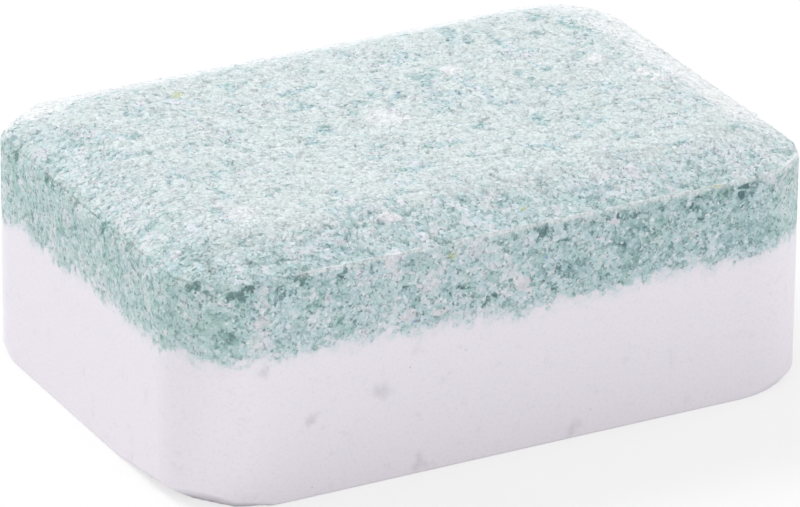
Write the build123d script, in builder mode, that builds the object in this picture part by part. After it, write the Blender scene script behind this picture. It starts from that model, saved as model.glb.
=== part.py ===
"""Two-layer toilet descaling tablet: a green speckled charge pressed onto a white one.

Millimetres, +Z up. The origin is the middle of the resting face, X runs along the
tablet's length and Y across it.
"""

import os
from math import cos, pi, radians, sin

from build123d import *

os.makedirs("parts", exist_ok=True)

# the die: a straight wall with rounded corners
LENGTH = 38.0
WIDTH = 26.7
WALL_HEIGHT = 13.0
CORNER_RADIUS = 4.35

# the foot, whose corners have rubbed rounder than the wall above
FOOT_CORNER_RADIUS = 5.3
FOOT_WEAR_HEIGHT = 0.5

# the cup of the punch: a narrow land at the wall, a shallow bevel and a flat face
LAND_WIDTH = 0.2
BEVEL_INSET = 3.75
BEVEL_RISE = 1.35
FACE_CORNER_RADIUS = 3.2
BEVEL_BLEND = 2.5
HEIGHT = WALL_HEIGHT + BEVEL_RISE

# the burr that squeezed out between punch and die and stands on the land of the -Y side:
# a thin wedge, its runs from and to as shares of the straight wall, and the part of the
# +X corner that it turns
BURR_HEIGHT = 0.14
BURR_ROOT = 0.05
BURR_CREST_SHARE = 0.35
BURR_RUNS = [(0.06, 0.34), (0.37, 0.66), (0.68, 0.98)]
BURR_CORNER_TURN = 62.0

# the join of the two charges: a long swell and a shorter ripple about a mean height
SEAM_HEIGHT = 8.45
SEAM_SWELL = 0.2
SEAM_SWELL_LENGTH = 31.0
SEAM_SWELL_SLANT = 0.6
SEAM_RIPPLE = 0.1
SEAM_RIPPLE_LENGTH = 7.6
SEAM_RIPPLE_WIDTH = 9.0
SEAM_CREST_X = -12.0
SEAM_GRID = 25
SEAM_MARGIN = 1.5

# corners that have lost material, each as one rubbed facet: side in X, side in Y,
# turn of the facet from X towards Y, lean from vertical, and depth below the corner's tip
WORN_TOP = [
    (-1, 1, 54.0, 61.0, 0.70),
    (-1, -1, 45.0, 50.0, 0.34),
    (1, -1, 16.0, 45.0, 0.16),
]
WORN_FOOT = [
    (-1, -1, 10.5, 30.0, 0.53),
    (-1, -1, 38.0, 44.0, 0.68),
    (-1, -1, 67.0, 39.0, 0.35),
]


def seam_height(x, y):
    """Height of the join, with a crest of the ripple on the -Y wall at SEAM_CREST_X."""
    swell = cos(2 * pi * (x + SEAM_SWELL_SLANT * y - 7.8) / SEAM_SWELL_LENGTH)
    along = cos(2 * pi * (x - SEAM_CREST_X) / SEAM_RIPPLE_LENGTH)
    across = cos(2 * pi * (y + WIDTH / 2) / SEAM_RIPPLE_WIDTH)
    return SEAM_HEIGHT + SEAM_SWELL * swell + SEAM_RIPPLE * along * across


def worn_facet(side_x, side_y, turn, lean, depth, height):
    """The plane rubbed onto a corner of the wall, at its top rim or at its foot."""
    out = Vector(side_x * cos(radians(turn)), side_y * sin(radians(turn)), 0)
    corner_axis = Vector(side_x * (LENGTH / 2 - CORNER_RADIUS), side_y * (WIDTH / 2 - CORNER_RADIUS), height)
    upward = cos(radians(lean)) if height > 0 else -cos(radians(lean))
    normal = out * sin(radians(lean)) + Vector(0, 0, upward)
    return Plane(origin=corner_axis + out * CORNER_RADIUS - normal * depth, z_dir=normal)


# the pressed body, before it is told apart into its two charges
with BuildPart() as pressed:
    # foot
    with BuildSketch():
        RectangleRounded(LENGTH, WIDTH, FOOT_CORNER_RADIUS)
    with BuildSketch(Plane.XY.offset(FOOT_WEAR_HEIGHT)):
        RectangleRounded(LENGTH, WIDTH, CORNER_RADIUS)
    loft()
    # wall
    with BuildSketch(Plane.XY.offset(FOOT_WEAR_HEIGHT)):
        RectangleRounded(LENGTH, WIDTH, CORNER_RADIUS)
    extrude(amount=WALL_HEIGHT - FOOT_WEAR_HEIGHT)
    # bevel and flat face
    with BuildSketch(Plane.XY.offset(WALL_HEIGHT)):
        RectangleRounded(LENGTH - 2 * LAND_WIDTH, WIDTH - 2 * LAND_WIDTH, CORNER_RADIUS - LAND_WIDTH)
    with BuildSketch(Plane.XY.offset(HEIGHT)):
        RectangleRounded(LENGTH - 2 * BEVEL_INSET, WIDTH - 2 * BEVEL_INSET, FACE_CORNER_RADIUS)
    loft()
    # the flat face runs softly into the bevel
    fillet(pressed.edges().group_by(Axis.Z)[-1], radius=BEVEL_BLEND)

# the burr's path along the outer edge of the land: its straight runs, then the turned corner
straight_wall = LENGTH - 2 * CORNER_RADIUS
burr_paths = []
for run_start, run_end in BURR_RUNS:
    with BuildLine() as run:
        Line(
            ((run_start - 0.5) * straight_wall, -WIDTH / 2, WALL_HEIGHT),
            ((run_end - 0.5) * straight_wall, -WIDTH / 2, WALL_HEIGHT),
        )
    burr_paths.append(run.line)
with BuildLine(Plane.XY.offset(WALL_HEIGHT)) as turned:
    CenterArc(
        center=(LENGTH / 2 - CORNER_RADIUS, CORNER_RADIUS - WIDTH / 2),
        radius=CORNER_RADIUS,
        start_angle=-88,
        arc_size=BURR_CORNER_TURN,
    )
burr_paths.append(turned.line)

burrs = []
for path in burr_paths:
    with BuildPart() as burr:
        # across the path: x points up, and y out from the land to the wall
        with BuildSketch(Plane(origin=path @ 0, x_dir=(0, 0, 1), z_dir=path % 0)):
            with BuildLine():
                Polyline(
                    (-BURR_ROOT, 0),
                    (0, 0),
                    (BURR_HEIGHT, -BURR_CREST_SHARE * LAND_WIDTH),
                    (0, -LAND_WIDTH),
                    (-BURR_ROOT, -LAND_WIDTH),
                    close=True,
                )
            make_face()
        sweep(path=path)
    burrs.append(burr.part)

# the face that the two charges share, a little larger than the tablet
seam_x = [(i / (SEAM_GRID - 1) - 0.5) * (LENGTH + 2 * SEAM_MARGIN) for i in range(SEAM_GRID)]
seam_y = [(i / (SEAM_GRID - 1) - 0.5) * (WIDTH + 2 * SEAM_MARGIN) for i in range(SEAM_GRID)]
seam = Face.make_surface_from_array_of_points([[Vector(x, y, seam_height(x, y)) for y in seam_y] for x in seam_x])

with BuildPart() as white_layer:
    add(pressed.part)
    split(bisect_by=seam, keep=Keep.BOTTOM)
    for facet in WORN_FOOT:
        split(bisect_by=worn_facet(*facet, height=0), keep=Keep.BOTTOM)

with BuildPart() as green_layer:
    add(pressed.part)
    split(bisect_by=seam, keep=Keep.TOP)
    add(burrs)
    for facet in WORN_TOP:
        split(bisect_by=worn_facet(*facet, height=WALL_HEIGHT), keep=Keep.BOTTOM)

white_layer.part.label = "white_layer"
green_layer.part.label = "green_layer"
export_step(white_layer.part, "parts/white_layer.step")
export_step(green_layer.part, "parts/green_layer.step")
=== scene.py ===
"""Blender dressing of a two-layer pressed descaling tablet.

A green charge of coarse granulate is pressed onto a white charge of fine powder. Each layer is one
closed surface worked out with numpy: the die's rounded rectangle, the punch's bevelled cup and the
ragged join, with the relief of the grains pressed into them. Everything is in metres, in the frame
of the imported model, and the relief only ever takes material away, so the model's box holds.
"""

from functools import partial
from itertools import product
from math import cos, pi, radians, sin, sqrt

import bpy
import numpy as np
from bpy.props import FloatProperty, FloatVectorProperty, IntProperty, PointerProperty
from mathutils import Matrix, Vector


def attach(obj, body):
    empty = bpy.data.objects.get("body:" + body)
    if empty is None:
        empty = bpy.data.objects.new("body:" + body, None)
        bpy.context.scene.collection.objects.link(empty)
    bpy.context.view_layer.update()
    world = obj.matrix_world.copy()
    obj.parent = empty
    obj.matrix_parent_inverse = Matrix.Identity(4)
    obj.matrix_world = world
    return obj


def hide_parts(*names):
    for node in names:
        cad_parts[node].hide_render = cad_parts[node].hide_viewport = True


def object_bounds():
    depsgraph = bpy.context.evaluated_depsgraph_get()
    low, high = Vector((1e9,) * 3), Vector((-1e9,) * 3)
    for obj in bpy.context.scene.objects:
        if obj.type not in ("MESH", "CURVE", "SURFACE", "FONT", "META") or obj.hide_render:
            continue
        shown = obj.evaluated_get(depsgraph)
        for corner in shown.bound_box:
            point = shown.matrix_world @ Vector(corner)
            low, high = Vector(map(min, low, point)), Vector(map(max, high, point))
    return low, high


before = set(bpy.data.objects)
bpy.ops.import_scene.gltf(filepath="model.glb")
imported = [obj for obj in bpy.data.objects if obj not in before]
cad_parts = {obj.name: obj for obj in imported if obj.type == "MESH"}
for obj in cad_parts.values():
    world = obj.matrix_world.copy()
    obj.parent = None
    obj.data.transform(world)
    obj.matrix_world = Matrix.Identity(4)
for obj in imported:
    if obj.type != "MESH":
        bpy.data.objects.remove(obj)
CAD_BOX = [list(corner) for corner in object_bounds()]

bl_info = {
    "name": "Pressed descaling tablet",
    "version": (1, 0, 0),
    "blender": (4, 5, 0),
    "location": "View3D > Sidebar > Tablet",
    "description": "Builds a two-layer pressed tablet, its granular finish and its studio",
    "category": "Object",
}

MM = 0.001
HALF_LENGTH = (CAD_BOX[1][0] - CAD_BOX[0][0]) / 2
HALF_WIDTH = (CAD_BOX[1][1] - CAD_BOX[0][1]) / 2
HEIGHT = CAD_BOX[1][2]

# Corners that have lost material, as in the model: side in X, side in Y, turn of the rubbed facet
# from X towards Y and its lean from vertical in degrees, and its depth below the corner's tip.
WORN_TOP = [
    (-1, 1, 54, 61, 0.70 * MM),
    (-1, -1, 45, 50, 0.34 * MM),
    (1, -1, 16, 45, 0.16 * MM),
]
WORN_FOOT = [
    (-1, -1, 10.5, 30, 0.53 * MM),
    (-1, -1, 38, 44, 0.68 * MM),
    (-1, -1, 67, 39, 0.35 * MM),
]

# Runs of the burr along the -Y wall, from and to as places in X, and how far it turns the +X corner.
BURR_RUNS = [(-12.9, -4.7), (-3.8, 4.7), (5.3, 14.6)]
BURR_TURN = 60

# Across the burr, from its inner foot to the wall: place as a share of the land in from the wall, and
# height as a share of the crest.
BURR_PROFILE = [(0.75, 0.3), (0.5, 0.75), (0.32, 1.0), (0.14, 0.65)]

# Each part takes its noises from a number of its own. Those of the face, join, wall, powder, rim and
# film are added to the seed, and those of the burr, marks and facets are the same for every seed.
FACE_NOISE = 0
JOIN_NOISE = 20
WALL_NOISE = 30
BURR_NOISE = 44
POWDER_NOISE = 50
RIM_NOISE = 60
FILM_NOISE = 62
MARK_NOISE = 70
FACET_NOISE = 90

# Camera: its turn round the tablet, its rise over the floor and its roll, all in degrees, its distance
# from the middle of the tablet, its lens in millimetres and its shift.
CAMERA_TURN = -28.153
CAMERA_RISE = 24.427
CAMERA_ROLL = 0.529
CAMERA_DISTANCE = 397.55 * MM
CAMERA_TARGET = (0, 0, 7 * MM)
CAMERA_LENS = 330.5
CAMERA_SHIFT = (0.00273, -0.01867)

# Lamps: name, place and width in metres, and power in watts. They face the camera's target too.
LAMPS = [
    ("key", (-0.15, 0.36, 0.45), 0.25, 2.08),
    ("fill", (0.12, -0.57, 0.14), 0.30, 0.39),
    ("side", (0.46, 0.08, 0.24), 0.25, 0.36),
]

# Light from all round, as a share of white, and half the width of the floor in metres.
SKY_STRENGTH = 0.74
FLOOR_HALF = 0.6

# Granules and clumps that stand out, in millimetres: X, Y, height and width.
WHITE_LUMPS = [
    (5.4, 4.2, 14.3, 1.05),
    (13.4, 2.1, 14.3, 1.00),
    (14.6, -0.6, 14.3, 0.90),
    (15.2, -1.7, 14.2, 1.00),
    (-6.2, -10.7, 13.9, 0.80),
    (-7.5, -13.3, 12.5, 0.75),
    (0.4, -13.3, 9.8, 0.85),
    (5.8, -13.3, 12.4, 0.60),
    (-4.6, -13.3, 9.1, 0.65),
    (-15.1, -13.3, 8.75, 0.60),
]
POWDER_PATCHES = [
    (-0.5, 0.2, 14.3, 1.9),
    (-13.2, -7.7, 14.3, 1.5),
    (-2.5, -13.3, 12.4, 0.75),
    (-5.2, -13.3, 10.9, 0.95),
    (-6.3, -13.3, 9.3, 0.80),
    (-11.0, -13.3, 11.2, 0.60),
    (-15.0, -13.3, 9.6, 1.15),
    (-15.1, -13.3, 10.6, 0.75),
    (-15.0, -13.3, 11.5, 0.60),
    (-14.9, -13.3, 12.5, 0.60),
]
DARK_CLUMPS = [
    (-19.0, 7.8, 12.7, 0.70),
    (-19.0, 3.9, 12.5, 0.80),
    (-19.0, 1.2, 12.7, 0.45),
    (-19.0, -2.4, 12.5, 0.75),
    (-19.0, -5.5, 12.7, 0.50),
    (-18.0, -11.5, 12.7, 0.59),
    (-16.3, -13.0, 12.4, 0.77),
    (-15.8, -13.2, 12.6, 0.59),
    (-12.6, -13.3, 12.6, 0.68),
    (-10.0, -13.3, 12.6, 0.64),
    (-8.6, -13.3, 12.6, 0.51),
    (-6.6, -13.3, 10.9, 0.47),
    (-3.5, -13.3, 10.2, 0.55),
    (-1.7, -13.3, 9.2, 0.47),
    (1.6, -13.3, 12.6, 0.81),
    (2.5, -13.3, 11.8, 0.55),
    (2.2, -13.3, 9.1, 0.42),
    (4.4, -13.3, 12.2, 0.38),
    (6.5, -13.3, 12.4, 0.59),
    (11.0, -13.3, 12.4, 0.59),
    (13.6, -13.3, 12.4, 0.51),
    (-4.5, -12.6, 13.2, 0.42),
]
LIME_SPECKS = [(-3.9, -13.3, 12.2, 0.45), (12.3, -13.3, 13.0, 0.40), (-9.3, 8.0, 14.3, 0.45)]
AZURE_SPECKS = [(1.6, -13.3, 11.1, 0.30), (-6.1, -13.3, 8.8, 0.28), (1.1, -12.4, 13.4, 0.30)]
GREY_MOTTLES = [
    (-12.2, -13.3, 4.6, 0.5),
    (-8.0, -13.3, 5.3, 0.8),
    (-5.7, -13.3, 0.7, 0.6),
    (3.6, -13.3, 0.6, 0.6),
    (-15.0, -13.3, 7.9, 0.4),
]


def linear(hex_colour):
    """Linear red, green, blue and alpha of an sRGB colour written as #RRGGBB."""
    channels = [int(hex_colour[i : i + 2], 16) / 255 for i in (1, 3, 5)]
    curved = [c / 12.92 if c <= 0.04045 else ((c + 0.055) / 1.055) ** 2.4 for c in channels]
    return (*curved, 1.0)


def length(name, description, millimetres):
    """A length property, its default given in millimetres."""
    return FloatProperty(
        name=name, description=description, default=millimetres * MM, min=0, unit="LENGTH", precision=6
    )


def colour(name, description, hex_colour):
    """A colour property, its default given as an sRGB hex value."""
    default = linear(hex_colour)
    return FloatVectorProperty(
        name=name, description=description, default=default, size=4, subtype="COLOR", min=0, max=1
    )


class TabletForm(bpy.types.PropertyGroup):
    """Sizes of the die, the punch's cup and the join."""

    corner_radius: length("Corner radius", "Radius of the die's upright corners", 4.35)
    foot_radius: length("Foot corner radius", "Corner radius at the resting face", 5.3)
    foot_wear: length("Foot wear", "Height over which the foot corners have rubbed rounder", 0.5)
    land_width: length("Land", "Flat strip between the wall and the bevel", 0.2)
    bevel_inset: length("Bevel inset", "From the wall to the flat face", 3.75)
    bevel_rise: length("Bevel rise", "From the wall's top to the flat face", 1.35)
    face_radius: length("Face corner radius", "Corner radius of the flat face", 3.2)
    bevel_blend: length("Bevel blend", "Height over which the bevel runs into the face", 0.17)
    burr_height: length("Burr height", "Crest of the burr above the land", 0.13)
    rim_round: length("Rim round", "Rounding of the rim where no burr stands", 0.19)
    foot_round: length("Foot round", "Rounding of the foot's edge", 0.12)
    join_height: length("Join height", "Mean height of the join of the two charges", 8.45)
    join_swell: length("Join swell", "Height of the join's long wave", 0.2)
    join_ripple: length("Join ripple", "Height of the join's short wave", 0.1)
    mesh_step: length("Mesh step", "Distance between neighbouring points of the surface", 0.13)


class TabletGrain(bpy.types.PropertyGroup):
    """Sizes of the granulate and of the marks it leaves in the surface."""

    grain: length("Grain", "Width of the common grain", 0.30)
    granule: length("Granule", "Width of the coarse granules", 0.70)
    crumb: length("Crumb", "Width of the finest grain that shows", 0.14)
    face_relief: length("Face relief", "Depth of the relief on the face and the bevel", 0.07)
    wall_relief: length("Wall relief", "Depth of the relief on the green wall", 0.03)
    powder_relief: length("Powder relief", "Depth of the relief on the white wall", 0.008)
    pit_depth: length("Pit depth", "Depth of a place that a grain has fallen out of", 0.13)
    rim_wear: length("Rim wear", "Depth rubbed off the rim where no burr stands", 0.13)
    ragged: length("Raggedness", "How far the join wanders at the scale of a granule", 0.28)
    seed: IntProperty(name="Seed", description="Picks another arrangement of the grains", default=11, min=0)


class TabletColours(bpy.types.PropertyGroup):
    """Colours of the two charges and the floor."""

    # Darkest teal: grains of undiluted dye, and the painted shade in crevices, hollows and single crumbs.
    darkest_dye_and_shade: colour("Darkest teal", "Grains of undiluted dye, and crevices", "#627E81")
    deep: colour("Deep teal", "Strongly dyed grains", "#8FAEB1")
    teal: colour("Teal", "Dyed grains", "#AEC9CC")
    aqua: colour("Pale aqua", "Lightly dyed grains", "#C2D9DE")
    mist: colour("Mist", "Grains with a trace of dye", "#D3E1E7")
    chalk: colour("Chalk", "Undyed grains, faintly lilac", "#E5E6EE")
    sea: colour("Sea green", "What the greener grains lean to", "#A2CAB8")
    dust: colour("Dust", "Powder rubbed over the face", "#E1EAEA")
    # Whiter powder for the lumps and patches, and painted highlight: the painted sheen of the far bevels, the
    # burr's crest and single crumbs.
    bloom: colour("Bloom", "Whiter powder on the far bevels, the burr and the face's lumps", "#F5F7F9")
    azure: colour("Azure speck", "Rare blue grains", "#5F86C4")
    lime: colour("Lime speck", "Rare yellow-green grains", "#C9D08A")
    powder: colour("White powder", "The white charge", "#E8E3EA")
    mottle: colour("Mottle", "Greyer places in the white charge", "#D0CBD3")
    floor: colour("Floor", "Studio floor", "#F4F4F4")


def scene_groups():
    """The tablet's three groups of properties, as stored with the scene."""
    scene = bpy.context.scene
    return scene.tablet_form, scene.tablet_grain, scene.tablet_colours


# Noise: fixed for a seed, so that every run presses the same tablet.


def lattice_value(corners, seed):
    """A number from 0 to 1 for each whole-number corner: its coordinates times large odd numbers, mixed."""
    x, y, z = (corners[..., axis].astype(np.int64).astype(np.uint32) for axis in range(3))
    mixed = x * np.uint32(73856093) ^ y * np.uint32(19349663) ^ z * np.uint32(83492791)
    mixed ^= np.uint32((seed * 2654435761) % 2**32)
    mixed ^= mixed >> np.uint32(13)
    mixed *= np.uint32(1274126177)
    mixed ^= mixed >> np.uint32(16)
    mixed *= np.uint32(2246822519)
    mixed ^= mixed >> np.uint32(15)
    return mixed / 2.0**32


def cloud(points, size, seed):
    """Smooth noise from -1 to 1: numbers at the corners of cubes, blended across each cube by
    3t^2 - 2t^3."""
    places = points / size
    cube = np.floor(places)
    t = places - cube
    t = t * t * (3 - 2 * t)
    total = np.zeros(len(points))
    for corner in product((0, 1), repeat=3):
        weight = np.prod(np.where(corner, t, 1 - t), axis=-1)
        total += weight * lattice_value(cube + corner, seed)
    return 2 * total - 1


def clouds(points, seed, *layers):
    """Smooth noises added up. Each layer is a strength and a size in millimetres, and takes the next seed."""
    return sum(strength * cloud(points, size * MM, seed + n) for n, (strength, size) in enumerate(layers))


def grains(points, size, seed):
    """Cellular noise: every cube of the size holds one grain's middle. Gives, for each point, the distance
    to the nearest middle and to the next nearest, both over the size, and the nearest grain's number."""
    places = points / size
    cube = np.floor(places)
    nearest = np.full(len(points), 9.0)
    second = np.full(len(points), 9.0)
    number = np.zeros(len(points))
    for offset in product((-1, 0, 1), repeat=3):
        around = cube + offset
        middle = around + np.stack([lattice_value(around, seed + axis) for axis in (1, 2, 3)], axis=-1)
        distance = np.linalg.norm(places - middle, axis=-1)
        closer = distance < nearest
        second = np.where(closer, nearest, np.minimum(second, distance))
        number = np.where(closer, lattice_value(around, seed + 4), number)
        nearest = np.minimum(nearest, distance)
    return nearest, second, number


def smooth_step(values, start, end):
    """0 before start, 1 after end, and 3t^2 - 2t^3 between them."""
    t = np.clip((values - start) / (end - start), 0, 1)
    return t * t * (3 - 2 * t)


def marks(points, places, ragged=0.25):
    """How strongly each point belongs to a mark: 1 within about half its width of a place's middle, falling
    to 0 over a ragged edge. The distance has noise added, so no mark is round."""
    jitter = np.stack([cloud(points, 0.4 * MM, MARK_NOISE + axis) for axis in range(3)], axis=-1)
    uneven = points + 0.4 * MM * jitter
    strongest = np.zeros(len(points))
    for x, y, z, width in places:
        distance = np.linalg.norm(uneven - np.array([x, y, z]) * MM, axis=-1) / (width / 2 * MM)
        strongest = np.maximum(strongest, 1 - smooth_step(distance, 1 - ragged, 1.4 + ragged))
    return strongest


# Form: the die's outline, the punch's cup and the join.


def grid_lines(half, radius, step, corner_cells):
    """Lines across one direction of the die. Gives each line's share of the straight stretch, from -1 to 1,
    and its turn into a corner: 0 along the straight stretch, and to -1 or 1 at the wall."""
    straight_cells = round(2 * (half - radius) / step)
    share = np.pad(np.linspace(-1, 1, straight_cells + 1), corner_cells, mode="edge")
    ramp = np.linspace(0, 1, corner_cells + 1)[1:]
    turn = np.concatenate([-ramp[::-1], np.zeros(straight_cells + 1), ramp])
    return share, turn


def die_grid(form):
    """Shares and directions over the die's plan, as four grids. A point of an outline with a given inset
    and radius is share * (half size - inset - radius) + radius * direction. In a corner square with turns
    a and b the direction is (a * sqrt(1 - b^2 / 2), b * sqrt(1 - a^2 / 2)), which bends the square to a
    quarter disc."""
    corner_cells = round(form.corner_radius * pi / 4 / form.mesh_step)
    share_x, turn_x = grid_lines(HALF_LENGTH, form.corner_radius, form.mesh_step, corner_cells)
    share_y, turn_y = grid_lines(HALF_WIDTH, form.corner_radius, form.mesh_step, corner_cells)
    a, b = np.meshgrid(turn_x, turn_y, indexing="ij")
    share_a, share_b = np.meshgrid(share_x, share_y, indexing="ij")
    return share_a, share_b, a * np.sqrt(1 - b**2 / 2), b * np.sqrt(1 - a**2 / 2)


def outer_loop(grid):
    """The values on a grid's outer loop, anticlockwise seen from above."""
    return np.concatenate([grid[:-1, 0], grid[-1, :-1], grid[:0:-1, -1], grid[0, :0:-1]])


def outline(shares, inset, radius, height):
    """Points of the die's outline, moved in by the inset and rounded by the radius, at a height."""
    share_x, share_y, direction_x, direction_y = shares
    x = share_x * (HALF_LENGTH - inset - radius) + radius * direction_x
    y = share_y * (HALF_WIDTH - inset - radius) + radius * direction_y
    return np.stack(np.broadcast_arrays(x, y, height), axis=-1)


def cup_height(form, x, y):
    """Height of the punch's cup above the wall's top. The cup is a stack of outlines that shrink by the
    bevel's inset while their corner radius changes from the land's to the face's. A point's share k of that
    way is its distance from the side over the inset, or in a corner the root of
    |corner offset + b k|^2 = (R + c k)^2. The height is the smaller of rise * k and rise, with a soft
    change from one to the other."""
    land_radius = form.corner_radius - form.land_width
    inset = form.bevel_inset - form.land_width
    c = form.face_radius - land_radius
    b = inset + c
    ax = np.abs(x) - (HALF_LENGTH - form.corner_radius)
    ay = np.abs(y) - (HALF_WIDTH - form.corner_radius)
    side = np.minimum(land_radius - ax, land_radius - ay) / inset
    square = 2 * b**2 - c**2
    half_linear = b * (ax + ay) - land_radius * c
    constant = ax**2 + ay**2 - land_radius**2
    root = (-half_linear + np.sqrt(np.maximum(half_linear**2 - square * constant, 0))) / square
    in_corner = (ax + b * root > 0) & (ay + b * root > 0)
    k = np.clip(np.where(in_corner, root, side), 0, None)
    slope_height = form.bevel_rise * k
    soft = np.maximum(form.bevel_blend - np.abs(slope_height - form.bevel_rise), 0) / form.bevel_blend
    return np.minimum(slope_height, form.bevel_rise) - soft**2 * form.bevel_blend / 4


def join_height(form, x, y):
    """Height of the smooth join, as in the model: a long slanting swell and a shorter ripple."""
    swell = np.cos(2 * pi * (x + 0.6 * y - 7.8 * MM) / (31 * MM))
    along = np.cos(2 * pi * (x + 12 * MM) / (7.6 * MM))
    across = np.cos(2 * pi * (y + HALF_WIDTH) / (9 * MM))
    return form.join_height + form.join_swell * swell + form.join_ripple * along * across


def ragged_join(form, grain, loop):
    """Points of the join on the wall, pressed into it as the green wall is: the smooth join's height,
    wandering by whole granules and by grains. Both layers end on these points."""
    rim = outline(loop, 0, form.corner_radius, form.join_height)
    wander = clouds(rim, grain.seed + JOIN_NOISE, (1.0, 1.5), (0.5, 0.55))
    rim[:, 2] = join_height(form, rim[:, 0], rim[:, 1]) + grain.ragged * wander
    return rim


def rub_corners(points, facets, radius, height):
    """Take off what stands beyond each worn facet: such a point goes straight back onto the facet."""
    for side_x, side_y, turn, lean, depth in facets:
        out = np.array([side_x * cos(radians(turn)), side_y * sin(radians(turn)), 0])
        upward = cos(radians(lean)) if height > 0 else -cos(radians(lean))
        normal = out * sin(radians(lean)) + np.array([0, 0, upward])
        axis = np.array([side_x * (HALF_LENGTH - radius), side_y * (HALF_WIDTH - radius), height])
        beyond = (points - axis - out * radius + normal * depth) @ normal
        uneven = 1 + clouds(points, FACET_NOISE, (0.5, 0.6))
        beyond += np.where(beyond > 0, 0.03 * MM * uneven, 0)
        points = points - np.clip(beyond, 0, None)[:, None] * normal
    return points


def burr_strength(form, x, y):
    """Strength of the burr round the rim, from 0 to 1: full along its runs on the -Y side and round part of
    the +X corner, fading over the last third of a millimetre."""
    on_front = (y < form.land_width * 4 - HALF_WIDTH) & (np.abs(x) < HALF_LENGTH - form.corner_radius)
    strength = np.zeros(len(x))
    for start, end in BURR_RUNS:
        run = smooth_step(x, (start - 0.1) * MM, (start + 0.25) * MM)
        run *= 1 - smooth_step(x, (end - 0.25) * MM, (end + 0.1) * MM)
        strength = np.maximum(strength, run * on_front)
    across, along = x - HALF_LENGTH + form.corner_radius, -y - HALF_WIDTH + form.corner_radius
    turned = np.degrees(np.arctan2(across, along))
    in_corner = (across > 0) & (along > 0)
    in_corner &= np.hypot(across, along) > form.corner_radius - 4 * form.land_width
    strength = np.maximum(strength, in_corner * (1 - smooth_step(turned, BURR_TURN - 8, BURR_TURN)))
    return strength * (0.75 + clouds(np.stack([x, y, 0 * x], axis=-1), BURR_NOISE, (0.25, 0.9)))


# Relief: how deep the pressed grains lie below the die's smooth surface.


def rim_wear(grain, points, from_rim, burr):
    """Depth rubbed off the rim where no burr stands: most at the rim and none half a millimetre from it,
    uneven by granules, and deeper along the -X rim."""
    uneven = 0.65 + clouds(points, grain.seed + RIM_NOISE, (0.35, 0.8), (0.4, 0.3))
    deeper = 1 + 0.7 * smooth_step(-points[:, 0], 16 * MM, 18 * MM)
    near = 1 - smooth_step(from_rim, 0, 0.55 * MM)
    return grain.rim_wear * deeper * (1 - 0.85 * burr) * np.clip(uneven, 0, None) * near


def face_relief(grain, points):
    """Depth below the punch on the face and the bevel, and how hollow each point is. Grains are flat-topped
    with a crevice where two meet, each sunk by its own amount, and one in eight has fallen out; longer
    swells and granules move the whole surface."""
    seed = grain.seed + FACE_NOISE
    nearest, second, number = grains(points, 1.4 * grain.grain, seed)
    crevice = 1 - smooth_step(second - nearest, 0.02, 0.34)
    sunk = smooth_step(number, 0.45, 1.0)
    fallen = (number < 0.13) * (1 - smooth_step(nearest, 0.28, 0.55))
    coarse, _, coarse_number = grains(points, 1.7 * grain.granule, seed + 5)
    dent = (coarse_number < 0.22) * (1 - smooth_step(coarse, 0.15, 0.45))
    swell = 0.85 + clouds(points, seed + 9, (0.25, 2.6), (0.35, 0.95), (0.25, 0.26))
    depth = grain.face_relief * (0.5 * crevice + 0.45 * sunk + swell)
    depth += grain.pit_depth * (fallen + 0.5 * dent)
    hollow = np.clip(fallen + 0.6 * dent + 0.25 * crevice + 0.3 * sunk - 0.2, 0, 1)
    return depth * (1 - 0.9 * marks(points, WHITE_LUMPS)), hollow


def wall_relief(grain, points, torn_zone):
    """Depth below the die on the wall above the join, and how hollow each point is. The die has smeared the
    grains flat, so only their crevices and a few pits are left, except where crumbs were torn close under
    the rim and in the dark clumps."""
    seed = grain.seed + WALL_NOISE
    nearest, second, number = grains(points, 1.4 * grain.grain, seed)
    crevice = 1 - smooth_step(second - nearest, 0.02, 0.3)
    fallen = (number < 0.08) * (1 - smooth_step(nearest, 0.25, 0.5))
    swell = 0.65 + clouds(points, seed + 3, (0.4, 0.9), (0.25, 0.26))
    depth = grain.wall_relief * (0.6 * crevice + swell) + 0.5 * grain.pit_depth * fallen
    torn = smooth_step(cloud(points, 1.1 * MM, seed + 5), 0.0, 0.45) * torn_zone
    depth += 0.9 * grain.pit_depth * torn * (0.55 + clouds(points, seed + 6, (0.45, 0.3)))
    depth *= 1 - 0.9 * marks(points, WHITE_LUMPS)
    depth += 0.7 * grain.pit_depth * marks(points, DARK_CLUMPS)
    return depth, np.clip(0.8 * fallen + 0.7 * torn + 0.2 * crevice, 0, 1)


def powder_relief(grain, points):
    """Depth below the die on the white charge: fine powder, almost flat, with rare shallow pits."""
    seed = grain.seed + POWDER_NOISE
    nearest, _, number = grains(points, 0.9 * MM, seed + 2)
    pit = (number < 0.05) * (1 - smooth_step(nearest, 0.08, 0.22))
    swell = 0.5 + clouds(points, seed, (0.3, 1.4), (0.2, 0.4))
    return grain.powder_relief * (swell + 4 * pit), pit


# Meshes: grids of points to faces.


def grid_faces(numbers):
    """Quads of a grid of point numbers that face +Z where the grid runs along X and then Y."""
    quads = [numbers[:-1, :-1], numbers[1:, :-1], numbers[1:, 1:], numbers[:-1, 1:]]
    return np.stack(quads, axis=-1).reshape(-1, 4)


def band_faces(rings):
    """Quads between the closed rings of point numbers, facing outward where the rings go down."""
    upper, lower = rings[:-1], rings[1:]
    quads = [upper, lower, np.roll(lower, -1, axis=1), np.roll(upper, -1, axis=1)]
    return np.stack(quads, axis=-1).reshape(-1, 4)


def fan_faces(ring, pole):
    """Triangles from a ring to its pole."""
    return np.stack([ring, np.full(len(ring), pole), np.roll(ring, -1)], axis=-1)


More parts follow.
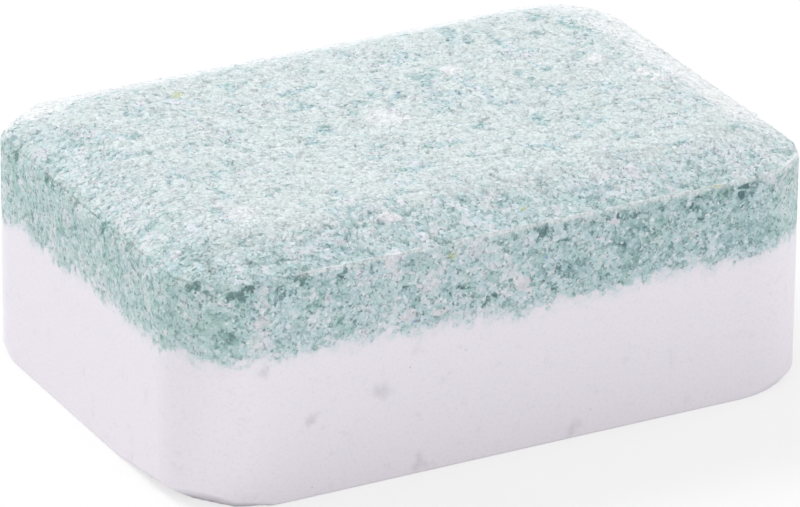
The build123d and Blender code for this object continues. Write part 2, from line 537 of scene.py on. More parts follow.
def make_piece(name, points, faces, hidden, attributes):
    """A mesh object of the points and faces, with one number per point for each attribute. It is smooth
    shaded, apart from the ragged rim that the seen faces share with the hidden ones, which is sharp."""
    rim = np.intersect1d(*(np.concatenate([part.ravel() for part in side]) for side in (faces, hidden)))
    faces = [*faces, *hidden]
    mesh = bpy.data.meshes.new(name)
    corners = np.concatenate([part.ravel() for part in faces]).astype(np.int32)
    sizes = np.concatenate([np.full(len(part), part.shape[1]) for part in faces]).astype(np.int32)
    mesh.vertices.add(len(points))
    mesh.vertices.foreach_set("co", points.astype(np.float32).ravel())
    mesh.loops.add(len(corners))
    mesh.loops.foreach_set("vertex_index", corners)
    mesh.polygons.add(len(sizes))
    mesh.polygons.foreach_set("loop_start", np.concatenate([[0], np.cumsum(sizes)[:-1]]).astype(np.int32))
    mesh.update(calc_edges=True)
    mesh.validate()
    ends = np.empty(2 * len(mesh.edges), dtype=np.int32)
    mesh.edges.foreach_get("vertices", ends)
    mesh.edges.foreach_set("use_edge_sharp", np.isin(ends, rim).reshape(-1, 2).all(axis=1))
    for label, values in attributes.items():
        stored = mesh.attributes.new(label, "FLOAT", "POINT")
        stored.data.foreach_set("value", values.astype(np.float32))
    piece = bpy.data.objects.new(name, mesh)
    bpy.context.scene.collection.objects.link(piece)
    return piece


def join_cap(form, rim):
    """The hidden face where the charges meet, as rings that shrink to a pole: the ragged rim's height
    fades into the smooth join's."""
    rings = []
    rim_offset = rim[:, 2] - join_height(form, rim[:, 0], rim[:, 1])
    for share in (0.97, 0.85, 0.6, 0.3):
        x, y = rim[:, 0] * share, rim[:, 1] * share
        height = join_height(form, x, y) + rim_offset * smooth_step(share, 0.8, 1.0)
        rings.append(np.stack([x, y, height], axis=-1))
    pole = np.array([[0, 0, join_height(form, 0.0, 0.0)]])
    return rings, pole


def sideways(loop, rows):
    """The outward direction of the die's wall at each point of a stack of rings."""
    direction = np.stack([loop[2], loop[3], np.zeros(len(loop[2]))], axis=-1)
    return np.tile(direction, (rows, 1))


def punched_face(form, grain, plan, wall_top):
    """The face and the bevel under the punch's cup: their points, how far each stands over the wall's top,
    how hollow it is, how strong the burr is there, and how deep the relief is."""
    face = outline(plan, form.land_width, form.corner_radius - form.land_width, wall_top).reshape(-1, 3)
    rise = cup_height(form, face[:, 0], face[:, 1])
    face[:, 2] += rise
    depth, hollow = face_relief(grain, face)
    from_rim = form.land_width + rise * (form.bevel_inset - form.land_width) / form.bevel_rise
    burr = burr_strength(form, face[:, 0], face[:, 1]) * (1 - smooth_step(from_rim, 0.2 * MM, 0.4 * MM))
    # The relief is shallower where the far bevels get their painted sheen.
    depth *= (1 - 0.8 * burr) * (1 - 0.5 * painted_far_sheen(form, grain, face))
    face[:, 2] -= depth + rim_wear(grain, face, from_rim, burr)
    return face, rise, hollow, burr, depth


def rim_rings(form, loop, wall_top, burr, wear, edge_depth):
    """Rings from the land to the wall, over the burr where it stands and round the worn edge elsewhere,
    and the height of the last one."""
    rings = []
    for share, crest in BURR_PROFILE:
        inset = share * form.land_width
        fall = form.rim_round * (1 - sqrt(1 - max(0, 1 - inset / form.rim_round) ** 2))
        height = wall_top - wear - (fall + edge_depth) * (1 - burr) + crest * form.burr_height * burr
        rings.append(outline(loop, inset + 0.5 * wear, form.corner_radius - inset - 0.5 * wear, height))
    edge = wall_top - wear - form.rim_round * (1 - 0.8 * burr) - edge_depth * (1 - burr)
    rings.append(outline(loop, 0.5 * wear, form.corner_radius - 0.5 * wear, edge))
    return rings, edge


def green_surface(form, grain):
    """Points, faces and attributes of the green layer: face grid, rim rings, wall rings and join cap."""
    wall_top = HEIGHT - form.bevel_rise
    plan = die_grid(form)
    loop = [outer_loop(part) for part in plan]
    columns = len(loop[0])
    face, rise, hollow, face_burr, face_depth = punched_face(form, grain, plan, wall_top)

    at_rim = outline(loop, 0, form.corner_radius, wall_top)
    burr = burr_strength(form, at_rim[:, 0], at_rim[:, 1])
    wear = rim_wear(grain, at_rim, 0, burr)
    edge_depth = outer_loop(face_depth.reshape(plan[0].shape))
    rings, edge = rim_rings(form, loop, wall_top, burr, wear, edge_depth)
    rim_rows = len(rings)
    join = ragged_join(form, grain, loop)
    for share in np.linspace(0, 1, round((wall_top - form.join_height) / form.mesh_step) + 1)[1:]:
        rings.append(outline(loop, 0, form.corner_radius, edge + (join[:, 2] - edge) * share))
    rows = len(rings)
    wall = np.concatenate(rings)
    row = np.repeat(np.arange(rows), columns)
    below_rim = wall_top - wall[:, 2]
    wall_burr = np.tile(burr, rows)
    torn_zone = smooth_step(below_rim, 0.1 * MM, 0.3 * MM) - smooth_step(below_rim, 0.7 * MM, 1.2 * MM)
    wall_depth, wall_hollow = wall_relief(grain, wall, wall_burr * torn_zone)
    wall_depth *= smooth_step(row, 0, rim_rows + 1)
    wall_depth += 0.5 * rim_wear(grain, wall, below_rim, wall_burr) * (row >= rim_rows)
    wall -= sideways(loop, rows) * wall_depth[:, None]

    cap, pole = join_cap(form, wall[-columns:])
    points = np.concatenate([face, wall, *cap, pole])
    points = rub_corners(points, WORN_TOP, form.corner_radius, wall_top)
    face_numbers = np.arange(len(face)).reshape(plan[0].shape)
    wall_numbers = len(face) + np.arange(len(wall)).reshape(rows, columns)
    cap_numbers = len(face) + len(wall) + np.arange(len(cap) * columns).reshape(len(cap), columns)
    wall_rings = np.concatenate([outer_loop(face_numbers)[None], wall_numbers])
    cap_rings = np.concatenate([wall_numbers[-1:], cap_numbers])
    faces = [grid_faces(face_numbers), band_faces(wall_rings)]
    hidden = [band_faces(cap_rings), fan_faces(cap_numbers[-1], len(points) - 1)]

    inside = np.zeros(len(points) - len(face) - len(wall))
    all_rise = np.concatenate([rise, np.zeros(len(wall))])
    below = np.concatenate([np.zeros(len(face)), below_rim])
    all_burr = np.concatenate([face_burr, wall_burr])
    dust, bloom = powder_films(form, grain, np.concatenate([face, wall]), all_rise, below, all_burr)
    # Where the burr's crest gets its painted highlight.
    wall_ridge = wall_burr * (1 - smooth_step(row, rim_rows - 2, rim_rows + 1))
    over_join = (wall[:, 2] - np.tile(join[:, 2], rows)) / MM
    attributes = {
        "dust": np.concatenate([dust, inside]),
        "bloom": np.concatenate([bloom, inside]),
        "ridge": np.concatenate([face_burr, wall_ridge, inside]),
        "hollow": np.concatenate([hollow, wall_hollow, inside]),
        "above_join": np.concatenate([np.full(len(face), 3.0), over_join, inside]),
        **shared_attributes(form, points),
    }
    return points, faces, hidden, attributes


def powder_films(form, grain, points, rise, below, burr):
    """Strength of the dust, and of the whiter powder patches and the painted sheen of the far bevels,
    on the outside of the green layer. Both thin out below the rim, the dust along a line that wanders by
    granules and grains where no burr stands."""
    smeared = 0.4 * marks(points, POWDER_PATCHES, 0.6)
    # Painted sheen on the far bevels, together with the real powder patches.
    bloom = np.maximum(painted_far_sheen(form, grain, points), smeared)
    bloom *= 1 - smooth_step(below, 0.2 * MM, 1.1 * MM)
    wander = clouds(points, grain.seed + FILM_NOISE + 4, (0.55, 1.1), (0.4, 0.4)) * MM
    dust = dust_film_and_painted_light(form, grain, points, rise)
    dust *= 1 - smooth_step(below - wander * (1 - burr), 0.05 * MM, 0.6 * MM)
    return dust, bloom


def dust_film_and_painted_light(form, grain, points, rise):
    """Strength of the dust on the face and the bevel: most on the flat face, less on the -X bevel, and thin
    where the bevel falls to the -Y rim. It is partly dust and partly painted light: the film makes the
    flat face lighter and the -Y and -X bevels darker, as the light falls on them."""
    flat = smooth_step(rise, 0.75 * form.bevel_rise, form.bevel_rise)
    left = smooth_step(-points[:, 0], HALF_LENGTH - form.bevel_inset, HALF_LENGTH - 0.5 * form.bevel_inset)
    front = smooth_step(-points[:, 1], HALF_WIDTH - form.bevel_inset, HALF_WIDTH - 0.5 * form.bevel_inset)
    # The bevels' smaller shares are partly painted shade, the -Y bevel's most.
    bevel = 0.84 - 0.28 * left * (1 - front) - 0.42 * front
    uneven = clouds(points, grain.seed + FILM_NOISE, (0.16, 2.4), (0.14, 0.9))
    return np.clip(0.96 * flat + bevel * (1 - flat) + uneven, 0, 1.1)


def painted_far_sheen(form, grain, points):
    """Strength of the painted sheen on the bevels of the +X and +Y sides, from 0 to 1: a whiter colour
    that stands in for the grazing reflection of the back light there. It starts about a millimetre inside
    their folds, is full before the rim, and thins out towards the near end of the +X side. Its edge wanders
    by clouds of two sizes."""
    fold_x, fold_y = HALF_LENGTH - form.bevel_inset, HALF_WIDTH - form.bevel_inset
    uneven = 0.8 * MM * clouds(points, grain.seed + FILM_NOISE + 2, (1.0, 2.2), (0.6, 0.8))
    right = smooth_step(points[:, 0] + uneven, fold_x - 1.2 * MM, fold_x + 2.4 * MM)
    right *= 0.25 + 0.75 * smooth_step(points[:, 1], -11 * MM, -5 * MM)
    back = smooth_step(points[:, 1] + uneven, fold_y - 1.0 * MM, fold_y + 2.2 * MM)
    return np.maximum(right, 0.9 * back)


def shared_attributes(form, points):
    """Attributes that follow from a point's place alone. Both layers carry them, so they agree at the join.
    The dye is deeper round the near corner and along the -Y bevel and wall, and the die has dragged it into
    upright streaks at both ends."""
    x, y, z = points.T
    wall = smooth_step(-z, form.bevel_rise - HEIGHT - 0.2 * MM, form.bevel_rise - HEIGHT + 0.3 * MM)
    near_corner = 0.25 - 0.25 * smooth_step(np.hypot(x + 17.7 * MM, y + 12.1 * MM), 1.5 * MM, 6.5 * MM)
    bevel_corner = 1 - smooth_step(np.hypot(x + 15.5 * MM, y + 11 * MM), 1 * MM, 3.5 * MM)
    front = 0.7 * smooth_step(-x, 7 * MM, 11 * MM) + 0.9 * smooth_step(x, -1 * MM, 3 * MM)
    front *= smooth_step(-y, 11 * MM, 13 * MM) * (1 - smooth_step(x, 15 * MM, 17 * MM))
    end = smooth_step(np.abs(x), HALF_LENGTH - form.corner_radius, HALF_LENGTH - 0.3 * form.corner_radius)
    return {
        "dye": np.maximum(near_corner, front) * (0.35 + 0.65 * wall) + 1.1 * bevel_corner * (1 - wall),
        "drag": end * wall,
        "lump": marks(points, WHITE_LUMPS),
        "patch": marks(points, POWDER_PATCHES, 0.6),
        "clump": marks(points, DARK_CLUMPS, 0.5),
        "mottle": marks(points, GREY_MOTTLES, 0.6),
        "lime": marks(points, LIME_SPECKS),
        "azure": marks(points, AZURE_SPECKS),
    }


def white_surface(form, grain):
    """Points, faces and attributes of the white layer: join cap, wall rings, foot and underside."""
    plan = die_grid(form)
    loop = [outer_loop(part) for part in plan]
    columns = len(loop[0])
    join = ragged_join(form, grain, loop)
    rings = []
    for share in np.linspace(1, 0, round(form.join_height / (1.65 * form.mesh_step))):
        height = form.foot_wear + (join[:, 2] - form.foot_wear) * share
        rings.append(outline(loop, 0, form.corner_radius, height))
    for height in (0.3 * MM, 0.18 * MM, form.foot_round, 0.4 * form.foot_round, 0.1 * form.foot_round):
        inset = form.foot_round * (1 - sqrt(1 - max(0, 1 - height / form.foot_round) ** 2))
        radius = form.foot_radius + (form.corner_radius - form.foot_radius) * height / form.foot_wear
        rings.append(outline(loop, inset, radius - inset, height))
    rows = len(rings)
    wall = np.concatenate(rings)
    row = np.repeat(np.arange(rows), columns)
    powder_depth, pit = powder_relief(grain, wall)
    green_depth, _ = wall_relief(grain, wall, 0)
    wall_depth = green_depth + (powder_depth - green_depth) * smooth_step(row, 0, 5)
    wall -= sideways(loop, rows) * wall_depth[:, None]

    sole = outline(plan, form.foot_round, form.foot_radius - form.foot_round, 0.0).reshape(-1, 3)
    sole_depth, sole_pit = powder_relief(grain, sole)
    sole[:, 2] += sole_depth

    cap, pole = join_cap(form, wall[:columns])
    points = np.concatenate([sole, wall, *cap, pole])
    points = rub_corners(points, WORN_FOOT, form.corner_radius, 0)
    points[:, 2] = np.maximum(points[:, 2], 0)
    sole_numbers = np.arange(len(sole)).reshape(plan[0].shape)
    wall_numbers = len(sole) + np.arange(len(wall)).reshape(rows, columns)
    cap_numbers = len(sole) + len(wall) + np.arange(len(cap) * columns).reshape(len(cap), columns)
    wall_rings = np.concatenate([wall_numbers, outer_loop(sole_numbers)[None]])
    cap_rings = np.concatenate([cap_numbers[::-1], wall_numbers[:1]])
    faces = [grid_faces(sole_numbers)[:, ::-1], band_faces(wall_rings)]
    hidden = [band_faces(cap_rings), fan_faces(cap_numbers[-1], len(points) - 1)[:, ::-1]]

    inside = np.zeros(len(points) - len(sole) - len(wall))
    over_join = (wall[:, 2] - np.tile(join[:, 2], rows)) / MM
    attributes = {
        "hollow": np.concatenate([sole_pit, pit, inside]),
        "above_join": np.concatenate([np.full(len(sole), -8.0), over_join, inside]),
        **shared_attributes(form, points),
    }
    return points, faces, hidden, attributes


# Materials


def add_node(tree, kind, inputs=(), output=0, stops=(), **settings):
    """Add a shader node with its settings and links, and give back one of its outputs, or the node itself
    where output is None. Inputs go by number, or by name in a dictionary, and each is a value or another
    node's output. Stops are the places and colours of a ramp."""
    made = tree.nodes.new("ShaderNode" + kind)
    for name, value in settings.items():
        setattr(made, name, value)
    for socket, value in inputs.items() if isinstance(inputs, dict) else enumerate(inputs):
        if isinstance(value, bpy.types.NodeSocket):
            tree.links.new(value, made.inputs[socket])
        else:
            made.inputs[socket].default_value = value
    for number, (place, value) in enumerate(stops):
        ramp = made.color_ramp.elements
        element = ramp[number] if number < len(ramp) else ramp.new(place)
        element.position = place
        element.color = value
    return made if output is None else made.outputs[output]


def grain_cells(tree, place, width):
    """Grains of a width in millimetres: three numbers of each grain's own, and the height of the small
    facet that it shows, which rises along a direction of its own as (place - middle) . (colour - 1/2)."""
    add = partial(add_node, tree)
    cell = add("TexVoronoi", {"Vector": place, "Scale": 1 / width}, output=None)
    numbers = add("SeparateColor", [cell.outputs["Color"]], output=None)
    local = add("VectorMath", [place, cell.outputs["Position"]], operation="SUBTRACT")
    lean = add("VectorMath", [cell.outputs["Color"], (0.5,) * 3], operation="SUBTRACT")
    height = add("VectorMath", [local, lean], output="Value", operation="DOT_PRODUCT")
    return numbers.outputs, height


def ragged_mark(tree, label, number, strength):
    """A mark on the surface whose edge runs round whole grains: the piece's own attribute, raised or
    lowered by each grain's number."""
    add = partial(add_node, tree)
    mark = add("Attribute", output="Fac", attribute_name=label)
    factor = add("Math", [number, 1.0, 0.5], operation="MULTIPLY_ADD")
    return add("MapRange", [add("Math", [mark, factor], operation="MULTIPLY"), 0.3, 0.6, 0.0, strength])


def scattered(tree, base, place, width, radius, share, tint, strength=1.0):
    """Granules scattered over a colour: one cell in each share holds a granule of the radius, both in
    millimetres. Its outline is as uneven as the place is bent."""
    add = partial(add_node, tree)
    cell = add("TexVoronoi", {"Vector": place, "Scale": 1 / width}, output=None)
    number = add("SeparateColor", [cell.outputs["Color"]], output=1)
    chosen = add("Math", [number, share], operation="LESS_THAN")
    outer, inner = 1.25 * radius / width, 0.8 * radius / width
    near = add("MapRange", [cell.outputs["Distance"], outer, inner, 0.0, strength])
    granule = add("Math", [chosen, near], operation="MULTIPLY")
    return add("Mix", {0: granule, 6: base, 7: tint}, output=2, data_type="RGBA")


def dyed_tone(tree, place, granule, middle, crumb, middle_height):
    """Tone of the granulate from 0 for undiluted dye to 1 for none. The numbers of the granule, the grain and
    the crumb add up to it, so each granule holds grains of its own kind and each grain its crumbs. Clouds of
    more or less dye, short streaks that the die has drawn and the dark clumps move it. Across each grain it
    also runs lighter and darker along the lean of the grain's facet, which is painted shading."""
    add = partial(add_node, tree)
    numbers = add("CombineXYZ", [granule[0], middle[0], crumb[0]])
    tone = add("VectorMath", [numbers, (0.45, 0.46, 0.24)], output="Value", operation="DOT_PRODUCT")
    # Painted shading: each grain's tone runs lighter and darker along its facet's lean.
    tone = add("Math", [middle_height, 1.1, tone], operation="MULTIPLY_ADD")
    drift = add("TexNoise", {"Vector": place, "Scale": 0.55, "Detail": 3.0})
    upright = add("VectorMath", [place, (1, 1, 0.3)], operation="MULTIPLY")
    streak = add("TexNoise", {"Vector": upright, "Scale": 3.5, "Detail": 3.0})
    drag = add("Attribute", output="Fac", attribute_name="drag")
    streak = add("Math", [add("Math", [streak, 0.53], operation="SUBTRACT"), drag], operation="MULTIPLY")
    dye = add("Attribute", output="Fac", attribute_name="dye")
    clump = ragged_mark(tree, "clump", middle[1], 1.0)
    shifts = add("CombineXYZ", [drift, streak, dye])
    shift = add("VectorMath", [shifts, (0.5, 0.5, -0.24)], output="Value", operation="DOT_PRODUCT")
    shift = add("Math", [clump, -0.52, shift], operation="MULTIPLY_ADD")
    return add("Math", [add("Math", [tone, shift], operation="ADD"), 0.09], operation="SUBTRACT")


def crevices(tree, place, bent, width):
    """How far a crevice is open, from 0 to 1: a thin line along the edges of the grains of a width in
    millimetres, open only here and there. It lowers the bump, and darkens the colour as painted shade."""
    add = partial(add_node, tree)
    cells = {"Vector": bent, "Scale": 1 / width}
    edge = add("TexVoronoi", cells, output="Distance", feature="DISTANCE_TO_EDGE")
    broken = add("TexNoise", {"Vector": place, "Scale": 3.2, "Detail": 3.0, "Roughness": 0.7})
    opened = add("MapRange", [broken, 0.50, 0.62])
    return add("Math", [add("MapRange", [edge, 0.13, 0.03]), opened], operation="MULTIPLY")


def granulate(tree, place, grain, colours):
    """Colour and height of the pressed granulate, how far a crevice is open, and the numbers of the
    granules, grains and crumbs. The place is bent by a fine noise, so that no grain has straight sides."""
    add = partial(add_node, tree)
    bend = add("TexNoise", {"Vector": place, "Scale": 4.0, "Detail": 3.0, "Roughness": 0.6}, output="Color")
    centred = add("VectorMath", [bend, (0.5,) * 3], operation="SUBTRACT")
    bent = add("VectorMath", [centred, (0.3,) * 3, place], operation="MULTIPLY_ADD")
    rough = add("VectorMath", [centred, (0.9,) * 3, place], operation="MULTIPLY_ADD")
    granule, _ = grain_cells(tree, rough, grain.granule / MM)
    middle, middle_height = grain_cells(tree, bent, grain.grain / MM)
    crumb, crumb_height = grain_cells(tree, bent, grain.crumb / MM)
    stops = [
        (0.00, colours.darkest_dye_and_shade),
        (0.18, colours.deep),
        (0.38, colours.teal),
        (0.58, colours.aqua),
        (0.80, colours.mist),
        (1.00, colours.chalk),
    ]
    tone = dyed_tone(tree, place, granule, middle, crumb, middle_height)
    base = add("ValToRGB", [tone], stops=stops)
    drag = add("Attribute", output="Fac", attribute_name="drag")
    greener = add("MapRange", [granule[1], 0.5, 1.0, 0.0, 0.2])
    greener = add("Math", [drag, 0.2, greener], operation="MULTIPLY_ADD")
    base = add("Mix", {0: greener, 6: base, 7: colours.sea}, output=2, data_type="RGBA")

    # whole granules of one kind, then a few of strong colour
    base = scattered(tree, base, rough, 1.1, 0.26, 0.30, colours.chalk, 0.6)
    base = scattered(tree, base, rough, 1.3, 0.20, 0.30, colours.deep, 0.45)
    base = scattered(tree, base, bent, 2.6, 0.10, 0.12, colours.azure, 0.8)
    base = scattered(tree, base, bent, 3.0, 0.14, 0.15, colours.lime, 0.8)

    # painted glints on some single crumbs and painted shade on others, then painted shade in crevices and
    # hollows
    pale = add("MapRange", [crumb[1], 0.92, 0.97, 0.0, 0.55])
    base = add("Mix", {0: pale, 6: base, 7: colours.bloom}, output=2, data_type="RGBA")
    dark = add("MapRange", [crumb[1], 0.09, 0.05, 0.0, 0.6])
    base = add("Mix", {0: dark, 6: base, 7: colours.darkest_dye_and_shade}, output=2, data_type="RGBA")
    gap = crevices(tree, place, bent, grain.grain / MM)
    hollow = add("Attribute", output="Fac", attribute_name="hollow")
    # Painted shade: crevices and hollows darkened towards the darkest teal.
    painted_crevice_and_hollow_shade = add("Math", [hollow, 0.2], operation="MULTIPLY")
    painted_crevice_and_hollow_shade = add("Math", [gap, 0.58, painted_crevice_and_hollow_shade], operation="MULTIPLY_ADD")
    base = add("Mix", {0: painted_crevice_and_hollow_shade, 6: base, 7: colours.darkest_dye_and_shade}, output=2, data_type="RGBA")

    height = add("Math", [crumb_height, 1.3, middle_height], operation="MULTIPLY_ADD")
    height = add("Math", [gap, -0.035, height], operation="MULTIPLY_ADD")
    return base, height, gap, (granule, middle, crumb)


def rubbed_dust(tree, place, base, gap, middle, crumb, colours):
    """The pale dust that the punch rubs over the face, and the painted sheen on the far bevels. They catch on
    the grains that stand up and miss the crevices and hollows, so their edge runs round the grains. Along the
    burr's crest the colour is whiter from end to end, a painted highlight where the crest catches the light."""
    add = partial(add_node, tree)
    film = add("TexNoise", {"Vector": place, "Scale": 1.6, "Detail": 4.0, "Roughness": 0.7})
    numbers = add("CombineXYZ", [middle[2], crumb[2], film])
    uneven = add("VectorMath", [numbers, (0.4, 0.35, 0.5)], output="Value", operation="DOT_PRODUCT")
    hollow = add("Attribute", output="Fac", attribute_name="hollow")
    uneven = add("Math", [hollow, -0.35, uneven], operation="MULTIPLY_ADD")
    uneven = add("Math", [gap, -0.40, uneven], operation="MULTIPLY_ADD")
    for label, tint, limit in (("dust", colours.dust, 0.89), ("bloom", colours.bloom, 0.95)):
        strength = add("Attribute", output="Fac", attribute_name=label)
        share = add("Math", [strength, uneven], operation="ADD")
        share = add("MapRange", [share, 0.875, 1.575, 0.0, limit])
        base = add("Mix", {0: share, 6: base, 7: tint}, output=2, data_type="RGBA")
    # Painted highlight: the burr's crest is whitened as if it caught the light.
    ridge = add("Attribute", output="Fac", attribute_name="ridge")
    crumbly = add("MapRange", [crumb[2], 0.0, 0.3, 0.35, 0.80])
    share = add("Math", [ridge, crumbly], operation="MULTIPLY")
    return add("Mix", {0: share, 6: base, 7: colours.bloom}, output=2, data_type="RGBA")


def placed_marks(tree, base, crumb, colours):
    """The marks that have places of their own, over the rest: patches of smeared powder and undyed lumps, as
    white as the film on the face and as the white charge on the wall, and grains of strong colour."""
    add = partial(add_node, tree)
    rubbed = add("Attribute", output="Fac", attribute_name="dust")
    undyed = add("Mix", {0: rubbed, 6: colours.powder, 7: colours.bloom}, output=2, data_type="RGBA")
    placed = [
        ("patch", undyed, 0.5),
        ("lump", undyed, 0.75),
        ("lime", colours.lime, 0.5),
        ("azure", colours.azure, 0.6),
    ]
    for label, tint, strength in placed:
        share = ragged_mark(tree, label, crumb[1], strength)
        base = add("Mix", {0: share, 6: base, 7: tint}, output=2, data_type="RGBA")
    return base


def height_over_join(tree, place, granule, middle, crumb):
    """How far a place belongs over the join, in millimetres: its height over it, moved by every granule,
    grain and crumb, so that each lies wholly on one side."""
    add = partial(add_node, tree)
    wander = add("TexNoise", {"Vector": place, "Scale": 2.5, "Detail": 4.0, "Roughness": 0.65})
    numbers = add("CombineXYZ", [granule[1], middle[1], crumb[2]])
    over = add("VectorMath", [numbers, (0.42, 0.48, 0.24)], output="Value", operation="DOT_PRODUCT")
    over = add("Math", [wander, 0.9, over], operation="MULTIPLY_ADD")
    over = add("Math", [over, 1.02], operation="SUBTRACT")
    return add("Math", [over, add("Attribute", output="Fac", attribute_name="above_join")], operation="ADD")


def powder_colour(tree, place, colours):
    """Colour of the pressed white powder: nearly even, with greyer mottles, a fine grain and stray specks."""
    add = partial(add_node, tree)
    mottle = add("TexNoise", {"Vector": place, "Scale": 1.1, "Detail": 3.0, "Roughness": 0.6})
    share = add("MapRange", [mottle, 0.6, 0.8, 0.0, 0.35])
    placed = add("Attribute", output="Fac", attribute_name="mottle")
    share = add("Math", [placed, 0.7, share], operation="MULTIPLY_ADD")
    fine = add("TexNoise", {"Vector": place, "Scale": 6.0, "Detail": 3.0})
    fine = add("MapRange", [fine, 0.5, 0.75, 0.0, 0.3])
    share = add("Math", [fine, share], operation="ADD")
    base = add("Mix", {0: share, 6: colours.powder, 7: colours.mottle}, output=2, data_type="RGBA")
    return scattered(tree, base, place, 1.7, 0.06, 0.3, colours.mottle)


def two_charges(name, colours, grain):
    """A material of both charges, which both surfaces use under a name of their own. Each granule and each
    grain lies wholly on one side of the join, and the two surfaces agree on it wherever they meet. The
    white takes a haze of dye just under the join, and the green is paler just over it."""
    material = bpy.data.materials.new(name)
    material.use_nodes = True
    tree = material.node_tree
    tree.nodes.clear()
    add = partial(add_node, tree)
    place = add("VectorMath", [add("TexCoord", output="Object"), (1 / MM,) * 3], operation="MULTIPLY")
    green, green_height, gap, (granule, middle, crumb) = granulate(tree, place, grain, colours)
    green = rubbed_dust(tree, place, green, gap, middle, crumb, colours)
    green = placed_marks(tree, green, crumb, colours)
    over = height_over_join(tree, place, granule, middle, crumb)
    white = powder_colour(tree, place, colours)
    haze = add("MapRange", [over, -0.7, 0.0, 0.0, 0.45])
    white = add("Mix", {0: haze, 6: white, 7: colours.mist}, output=2, data_type="RGBA")
    pale = add("MapRange", [over, 0.6, 0.0, 0.0, 0.35])
    green = add("Mix", {0: pale, 6: green, 7: colours.mist}, output=2, data_type="RGBA")
    side = add("MapRange", [over, -0.14, 0.14])
    base = add("Mix", {0: side, 6: white, 7: green}, output=2, data_type="RGBA")

    # relief too fine for the mesh, stronger where the punch has roughened the face
    powder_height = add("TexNoise", {"Vector": place, "Scale": 7.0, "Detail": 4.0})
    powder_height = add("Math", [powder_height, 0.012], operation="MULTIPLY")
    slowly = add("MapRange", [over, -0.35, 0.30])
    height = add("Mix", {0: slowly, 2: powder_height, 3: green_height})
    rubbed = add("Attribute", output="Fac", attribute_name="dust")
    strength = add("Math", [rubbed, 0.18, 0.65], operation="MULTIPLY_ADD")
    settings = {
        "Base Color": base,
        "Roughness": add("MapRange", [crumb[0], 0.0, 1.0, 0.62, 0.95]),
        "Normal": add("Bump", {"Height": height, "Strength": strength, "Distance": MM}),
        "IOR": 1.5,
        "Specular IOR Level": 0.35,
    }
    add("OutputMaterial", {"Surface": add("BsdfPrincipled", settings)}, output=None)
    return material


def pressed_granulate(colours, grain):
    """Pressed granulate of citric acid and soda, dyed teal: matt and chalky. Grains of many tones lie side by
    side, the punch has rubbed pale dust over the face, and dye stays dark in the hollows."""
    return two_charges("pressed_green_granulate", colours, grain)


def pressed_powder(colours, grain):
    """Pressed white powder: finer than the eye can part, so it is matt, almost even and a little lilac, with
    teal grains pressed into it just under the join."""
    return two_charges("pressed_white_powder", colours, grain)


def studio_paper(colours):
    """Matt seamless paper. The camera sees it as white, darkened only where the tablet shades it."""
    material = bpy.data.materials.new("studio_paper")
    material.use_nodes = True
    tree = material.node_tree
    tree.nodes.clear()
    add = partial(add_node, tree)
    tooth = add("TexNoise", {"Scale": 900.0, "Detail": 2.0})
    paper = add("Mix", {0: tooth, 6: colours.floor, 7: linear("#F7F7F7")}, output=2, data_type="RGBA")
    matt = add("BsdfDiffuse", {"Color": paper, "Roughness": 0.5})
    glow = add("Emission", {"Color": (1, 1, 1, 1), "Strength": 1.0})
    rays = add("LightPath", output=None).outputs
    seen = add("Math", [rays["Is Camera Ray"], rays["Is Glossy Ray"]], operation="MAXIMUM")
    seen = add("Math", [seen, rays["Is Transmission Ray"]], operation="MAXIMUM")
    share = add("Math", [seen, 0.6], operation="MULTIPLY")
    add("OutputMaterial", {"Surface": add("MixShader", [share, matt, glow])}, output=None)
    return material


# Operators


class TABLET_OT_green_layer(bpy.types.Operator):
    """Press the green layer: bevelled face, rim with its burr, wall and join"""

    bl_idname = "tablet.green_layer"
    bl_label = "Green layer"

    def execute(self, context):
        form, grain, colours = scene_groups()
        piece = make_piece("green_granulate_layer", *green_surface(form, grain))
        piece.data.materials.append(pressed_granulate(colours, grain))
        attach(piece, "root")
        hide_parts("green_layer")
        return {"FINISHED"}


class TABLET_OT_white_layer(bpy.types.Operator):
    """Press the white layer: join, wall, worn foot and underside"""

    bl_idname = "tablet.white_layer"
    bl_label = "White layer"

    def execute(self, context):
        form, grain, colours = scene_groups()
        piece = make_piece("white_powder_layer", *white_surface(form, grain))
        piece.data.materials.append(pressed_powder(colours, grain))
        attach(piece, "root")
        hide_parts("white_layer")
        return {"FINISHED"}


def add_camera():
    """A long lens that looks down onto the near corner."""
    turn, rise, roll = radians(CAMERA_TURN), radians(CAMERA_RISE), radians(CAMERA_ROLL)
    back = Vector((sin(turn) * cos(rise), -cos(turn) * cos(rise), sin(rise)))
    level = Vector((cos(turn), sin(turn), 0))
    above = back.cross(level)
    right = level * cos(roll) + above * sin(roll)
    up = above * cos(roll) - level * sin(roll)
    data = bpy.data.cameras.new("camera")
    data.sensor_fit = "HORIZONTAL"
    data.lens = CAMERA_LENS
    data.shift_x, data.shift_y = CAMERA_SHIFT
    data.clip_start = 0.01
    camera = bpy.data.objects.new("camera", data)
    turned = Matrix((right, up, back)).transposed().to_4x4()
    camera.matrix_world = Matrix.Translation(Vector(CAMERA_TARGET) + back * CAMERA_DISTANCE) @ turned
    bpy.context.scene.collection.objects.link(camera)
    bpy.context.scene.camera = camera


def add_panel_light(name, place, size, power):
    """A square soft light that faces the tablet, its place and width in metres and its power in watts."""
    data = bpy.data.lights.new(name, "AREA")
    data.size = size
    data.energy = power
    light = bpy.data.objects.new(name, data)
    light.location = place
    light.rotation_mode = "QUATERNION"
    light.rotation_quaternion = (Vector(place) - Vector(CAMERA_TARGET)).to_track_quat("Z", "Y")
    bpy.context.scene.collection.objects.link(light)


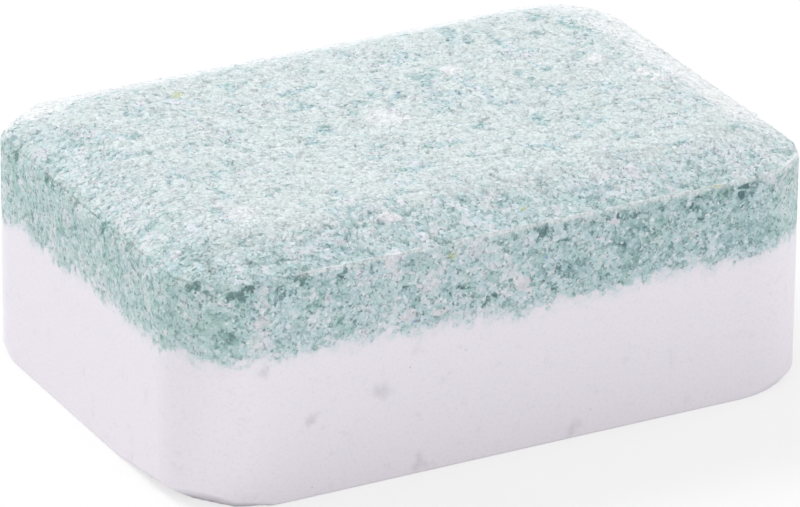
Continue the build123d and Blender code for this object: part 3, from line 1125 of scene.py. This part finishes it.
class TABLET_OT_studio(bpy.types.Operator):
    """Lay the floor and set the lights, the world and the camera"""

    bl_idname = "tablet.studio"
    bl_label = "Studio"

    def execute(self, context):
        colours = scene_groups()[2]
        mesh = bpy.data.meshes.new("floor")
        corners = [(x * FLOOR_HALF, y * FLOOR_HALF, 0) for x, y in ((-1, -1), (1, -1), (1, 1), (-1, 1))]
        mesh.from_pydata(corners, [], [(0, 1, 2, 3)])
        mesh.materials.append(studio_paper(colours))
        floor = bpy.data.objects.new("floor", mesh)
        context.scene.collection.objects.link(floor)
        for lamp in LAMPS:
            add_panel_light(*lamp)
        world = bpy.data.worlds.new("studio")
        world.use_nodes = True
        tree = world.node_tree
        tree.nodes.clear()
        seen = add_node(tree, "LightPath", output="Is Camera Ray")
        strength = add_node(tree, "MapRange", {"Value": seen, "To Min": SKY_STRENGTH, "To Max": 1.0})
        sky = add_node(tree, "Background", {"Color": (1, 1, 1, 1), "Strength": strength})
        add_node(tree, "OutputWorld", {"Surface": sky}, output=None)
        context.scene.world = world
        context.scene.view_settings.view_transform = "Standard"
        add_camera()
        return {"FINISHED"}


class TABLET_PT_panel(bpy.types.Panel):
    """Buttons and values of the tablet in the 3D view's sidebar"""

    bl_label = "Pressed tablet"
    bl_space_type = "VIEW_3D"
    bl_region_type = "UI"
    bl_category = "Tablet"

    def draw(self, context):
        layout = self.layout
        for operator in OPERATORS:
            layout.operator(operator.bl_idname)
        for group in scene_groups():
            box = layout.box()
            for name in group.bl_rna.properties.keys():
                if name not in ("rna_type", "name"):
                    box.prop(group, name)


OPERATORS = (TABLET_OT_studio, TABLET_OT_green_layer, TABLET_OT_white_layer)
CLASSES = (TabletForm, TabletGrain, TabletColours, *OPERATORS, TABLET_PT_panel)


def register():
    for each in CLASSES:
        bpy.utils.register_class(each)
    bpy.types.Scene.tablet_form = PointerProperty(type=TabletForm)
    bpy.types.Scene.tablet_grain = PointerProperty(type=TabletGrain)
    bpy.types.Scene.tablet_colours = PointerProperty(type=TabletColours)


def unregister():
    del bpy.types.Scene.tablet_colours
    del bpy.types.Scene.tablet_grain
    del bpy.types.Scene.tablet_form
    for each in reversed(CLASSES):
        bpy.utils.unregister_class(each)


def main():
    register()
    bpy.ops.tablet.studio()
    bpy.ops.tablet.green_layer()
    bpy.ops.tablet.white_layer()


if __name__ == "__main__":
    main()
